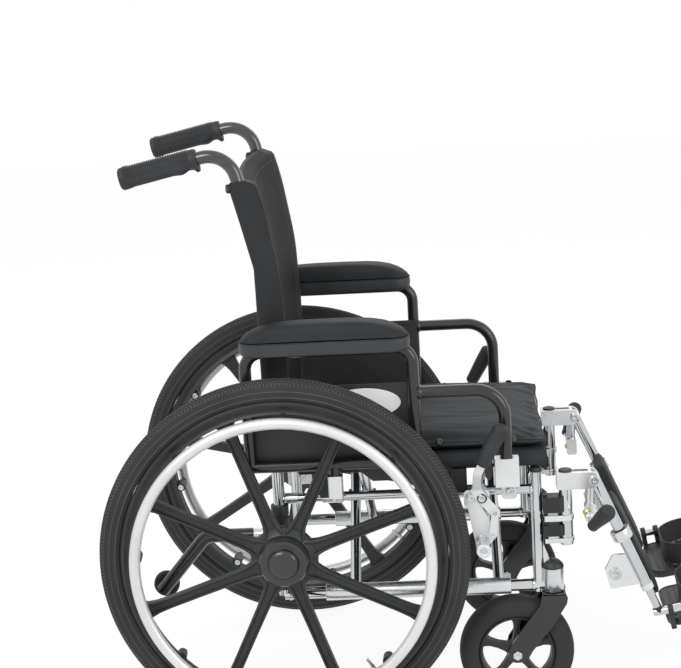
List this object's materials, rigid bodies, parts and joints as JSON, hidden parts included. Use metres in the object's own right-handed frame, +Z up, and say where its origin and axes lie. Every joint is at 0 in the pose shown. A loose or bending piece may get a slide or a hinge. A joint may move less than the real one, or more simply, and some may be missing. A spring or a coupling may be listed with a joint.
{
  "type": "folding manual wheelchair with elevating legrests",
  "caption": "Folding manual wheelchair with spoked mag wheels, desk-length armrests, swing-away elevating legrests and one rear anti-tip wheel.",
  "frame": {"origin": "centre of the bounding box on the floor under the chair", "axes": "+X the way the sitter faces, +Y to the sitter's left, +Z up"},
  "size_m": [1.1002, 0.6588, 0.9762],
  "materials": {
    "silver_steel": "bright satin",
    "chrome": "mirror",
    "black_tube": "semi-gloss",
    "black_plastic": "satin",
    "white_plastic": "satin",
    "grip_rubber": "matte",
    "tyre_rubber": "matte",
    "vinyl": "soft satin",
    "pad_vinyl": "soft satin",
    "rim_silver": "satin"
  },
  "bodies": {
    "frame_right": {"side_frame_right": "silver_steel", "back_cane_right": "black_tube", "push_grip_right": "grip_rubber", "hinge_saddle_right": "silver_steel", "arm_socket_front_right": "silver_steel", "back_upholstery": "vinyl"},
    "frame_left": {"side_frame_left": "silver_steel", "back_cane_left": "black_tube", "push_grip_left": "grip_rubber", "hinge_saddle_left": "silver_steel", "arm_socket_front_left": "silver_steel"},
    "brace_a": {"cross_brace_a": "silver_steel"},
    "brace_b": {"cross_brace_b": "silver_steel", "seat_sling": "vinyl", "seat_cushion": "vinyl"},
    "rear_wheel_left": {"tyre_left": "tyre_rubber", "mag_wheel_left": "black_plastic", "handrim_left": "rim_silver", "hub_cap_left": "black_plastic"},
    "caster_left": {"caster_fork_left": "black_tube"},
    "caster_roller_left": {"caster_wheel_left": "tyre_rubber"},
    "armrest_left": {"armrest_frame_left": "black_tube", "arm_pad_left": "pad_vinyl", "skirt_guard_left": "black_plastic"},
    "arm_lock_left": {"arm_lock_left": "black_plastic"},
    "brake_lever_left": {"brake_lever_left": "grip_rubber"},
    "brake_link_left": {"brake_link_left": "silver_steel"},
    "brake_shoe_left": {"brake_shoe_left": "white_plastic"},
    "hanger_left": {"hanger_left": "silver_steel"},
    "leg_left": {"leg_tube_left": "silver_steel"},
    "release_lever_left": {"release_lever_left": "grip_rubber"},
    "calf_pad_left": {"calf_pad_left": "pad_vinyl"},
    "footrest_left": {"footrest_tube_left": "chrome"},
    "footplate_left": {"footplate_left": "black_plastic", "heel_loop_left": "vinyl"},
    "rear_wheel_right": {"tyre_right": "tyre_rubber", "mag_wheel_right": "black_plastic", "handrim_right": "rim_silver", "hub_cap_right": "black_plastic"},
    "caster_right": {"caster_fork_right": "black_tube"},
    "caster_roller_right": {"caster_wheel_right": "tyre_rubber"},
    "armrest_right": {"armrest_frame_right": "black_tube", "arm_pad_right": "pad_vinyl", "skirt_guard_right": "black_plastic"},
    "arm_lock_right": {"arm_lock_right": "black_plastic"},
    "brake_lever_right": {"brake_lever_right": "grip_rubber"},
    "brake_link_right": {"brake_link_right": "silver_steel"},
    "brake_shoe_right": {"brake_shoe_right": "white_plastic"},
    "hanger_right": {"hanger_right": "silver_steel"},
    "leg_right": {"leg_tube_right": "silver_steel"},
    "release_lever_right": {"release_lever_right": "grip_rubber"},
    "calf_pad_right": {"calf_pad_right": "pad_vinyl"},
    "footrest_right": {"footrest_tube_right": "chrome"},
    "footplate_right": {"footplate_right": "black_plastic", "heel_loop_right": "vinyl"},
    "antitip_right": {"antitip_tube_right": "black_tube"},
    "antitip_wheel_right": {"antitip_wheel_right": "tyre_rubber"}
  },
  "joints": [
    {"name": "fold", "type": "hinge", "parent": "frame_right", "child": "brace_a", "pos_m": [-0.02912, -0.192, 0.212], "axis": [1, 0, 0], "range_deg": [0, 44], "deforming": ["seat_sling", "seat_cushion", "back_upholstery", "heel_loop_left", "heel_loop_right"]},
    {"name": "brace_pivot", "type": "hinge", "parent": "brace_a", "child": "brace_b", "pos_m": [-0.02912, 0, 0.3235], "axis": [1, 0, 0], "range_deg": [-88, 0]},
    {"name": "left_frame_hinge", "type": "hinge", "parent": "brace_b", "child": "frame_left", "pos_m": [-0.02912, 0.192, 0.212], "axis": [1, 0, 0], "range_deg": [0, 44]},
    {"name": "wheel_spin_left", "type": "hinge", "parent": "frame_left", "child": "rear_wheel_left", "pos_m": [-0.24512, 0.275, 0.305], "axis": [0, 1, 0], "continuous": true},
    {"name": "caster_swivel_left", "type": "hinge", "parent": "frame_left", "child": "caster_left", "pos_m": [0.19788, 0.192, 0.202], "axis": [0, 0, 1], "continuous": true},
    {"name": "caster_spin_left", "type": "hinge", "parent": "caster_left", "child": "caster_roller_left", "pos_m": [0.13288, 0.192, 0.097], "axis": [0, 1, 0], "continuous": true},
    {"name": "armrest_lift_left", "type": "slide", "parent": "frame_left", "child": "armrest_left", "axis": [0, 0, 1], "range_m": [0, 0.15]},
    {"name": "arm_lock_turn_left", "type": "hinge", "parent": "frame_left", "child": "arm_lock_left", "pos_m": [0.10188, 0.24, 0.445], "axis": [-1, 0, 0], "range_deg": [0, 90]},
    {"name": "brake_lever_turn_left", "type": "hinge", "parent": "frame_left", "child": "brake_lever_left", "pos_m": [0.08188, 0.247, 0.386], "axis": [0, 1, 0], "range_deg": [0, 40]},
    {"name": "brake_link_turn_left", "type": "hinge", "parent": "brake_lever_left", "child": "brake_link_left", "pos_m": [0.10288, 0.25, 0.36], "axis": [0, -1, 0], "range_deg": [0, 64]},
    {"name": "brake_shoe_turn_left", "type": "hinge", "parent": "frame_left", "child": "brake_shoe_left", "pos_m": [0.06388, 0.243, 0.386], "axis": [0, 1, 0], "range_deg": [0, 5.75]},
    {"name": "hanger_swing_left", "type": "hinge", "parent": "frame_left", "child": "hanger_left", "pos_m": [0.22238, 0.192, 0.331], "axis": [0, 0, 1], "range_deg": [0, 80]},
    {"name": "leg_elevate_left", "type": "hinge", "parent": "hanger_left", "child": "leg_left", "pos_m": [0.26988, 0.192, 0.396], "axis": [0, -1, 0], "range_deg": [0, 65]},
    {"name": "release_turn_left", "type": "hinge", "parent": "leg_left", "child": "release_lever_left", "pos_m": [0.25988, 0.207, 0.334], "axis": [0, 1, 0], "range_deg": [0, 20], "stiffness_Nm_per_rad": 0.5, "springref_deg": -14.32},
    {"name": "calf_swing_left", "type": "hinge", "parent": "leg_left", "child": "calf_pad_left", "pos_m": [0.31348, 0.192, 0.2961], "axis": [-0.4, 0, 0.9165], "range_deg": [0, 150]},
    {"name": "footrest_extend_left", "type": "slide", "parent": "leg_left", "child": "footrest_left", "axis": [0.4, 0, -0.9165], "range_m": [0, 0.1]},
    {"name": "footplate_flip_left", "type": "hinge", "parent": "footrest_left", "child": "footplate_left", "pos_m": [0.4152, 0.192, 0.16281], "axis": [-0.9848, 0, -0.1736], "range_deg": [0, 90]},
    {"name": "wheel_spin_right", "type": "hinge", "parent": "frame_right", "child": "rear_wheel_right", "pos_m": [-0.24512, -0.275, 0.305], "axis": [0, 1, 0], "continuous": true},
    {"name": "caster_swivel_right", "type": "hinge", "parent": "frame_right", "child": "caster_right", "pos_m": [0.19788, -0.192, 0.202], "axis": [0, 0, 1], "continuous": true},
    {"name": "caster_spin_right", "type": "hinge", "parent": "caster_right", "child": "caster_roller_right", "pos_m": [0.13288, -0.192, 0.097], "axis": [0, 1, 0], "continuous": true},
    {"name": "armrest_lift_right", "type": "slide", "parent": "frame_right", "child": "armrest_right", "axis": [0, 0, 1], "range_m": [0, 0.15]},
    {"name": "arm_lock_turn_right", "type": "hinge", "parent": "frame_right", "child": "arm_lock_right", "pos_m": [0.10188, -0.24, 0.445], "axis": [1, 0, 0], "range_deg": [0, 90]},
    {"name": "brake_lever_turn_right", "type": "hinge", "parent": "frame_right", "child": "brake_lever_right", "pos_m": [0.08188, -0.247, 0.386], "axis": [0, 1, 0], "range_deg": [0, 40]},
    {"name": "brake_link_turn_right", "type": "hinge", "parent": "brake_lever_right", "child": "brake_link_right", "pos_m": [0.10288, -0.25, 0.36], "axis": [0, -1, 0], "range_deg": [0, 64]},
    {"name": "brake_shoe_turn_right", "type": "hinge", "parent": "frame_right", "child": "brake_shoe_right", "pos_m": [0.06388, -0.243, 0.386], "axis": [0, 1, 0], "range_deg": [0, 5.75]},
    {"name": "hanger_swing_right", "type": "hinge", "parent": "frame_right", "child": "hanger_right", "pos_m": [0.22238, -0.192, 0.331], "axis": [0, 0, -1], "range_deg": [0, 80]},
    {"name": "leg_elevate_right", "type": "hinge", "parent": "hanger_right", "child": "leg_right", "pos_m": [0.26988, -0.192, 0.396], "axis": [0, -1, 0], "range_deg": [0, 65]},
    {"name": "release_turn_right", "type": "hinge", "parent": "leg_right", "child": "release_lever_right", "pos_m": [0.25988, -0.207, 0.334], "axis": [0, 1, 0], "range_deg": [0, 20], "stiffness_Nm_per_rad": 0.5, "springref_deg": -14.32},
    {"name": "calf_swing_right", "type": "hinge", "parent": "leg_right", "child": "calf_pad_right", "pos_m": [0.31348, -0.192, 0.2961], "axis": [0.4, 0, -0.9165], "range_deg": [0, 150]},
    {"name": "footrest_extend_right", "type": "slide", "parent": "leg_right", "child": "footrest_right", "axis": [0.4, 0, -0.9165], "range_m": [0, 0.1]},
    {"name": "footplate_flip_right", "type": "hinge", "parent": "footrest_right", "child": "footplate_right", "pos_m": [0.4152, -0.192, 0.16281], "axis": [0.9848, 0, 0.1736], "range_deg": [0, 90]},
    {"name": "antitip_turn_right", "type": "hinge", "parent": "frame_right", "child": "antitip_right", "pos_m": [-0.30212, -0.192, 0.32], "axis": [1, 0, 0], "range_deg": [0, 180]},
    {"name": "antitip_wheel_spin_right", "type": "hinge", "parent": "antitip_right", "child": "antitip_wheel_right", "pos_m": [-0.45812, -0.17, 0.231], "axis": [0, 1, 0], "continuous": true}
  ],
  "couplings": [
    {"joint": "brace_pivot", "follows": "fold", "ratio": -2},
    {"joint": "left_frame_hinge", "follows": "fold", "ratio": 1},
    {"joint": "brake_link_turn_left", "follows": "brake_lever_turn_left", "ratio": 1.6},
    {"joint": "brake_shoe_turn_left", "follows": "brake_lever_turn_left", "ratio": 0.14375},
    {"joint": "calf_swing_left", "follows": "fold", "ratio": 3.4091},
    {"joint": "footplate_flip_left", "follows": "fold", "ratio": 2.0454},
    {"joint": "brake_link_turn_right", "follows": "brake_lever_turn_right", "ratio": 1.6},
    {"joint": "brake_shoe_turn_right", "follows": "brake_lever_turn_right", "ratio": 0.14375},
    {"joint": "calf_swing_right", "follows": "fold", "ratio": 3.4091},
    {"joint": "footplate_flip_right", "follows": "fold", "ratio": 2.0454}
  ]
}
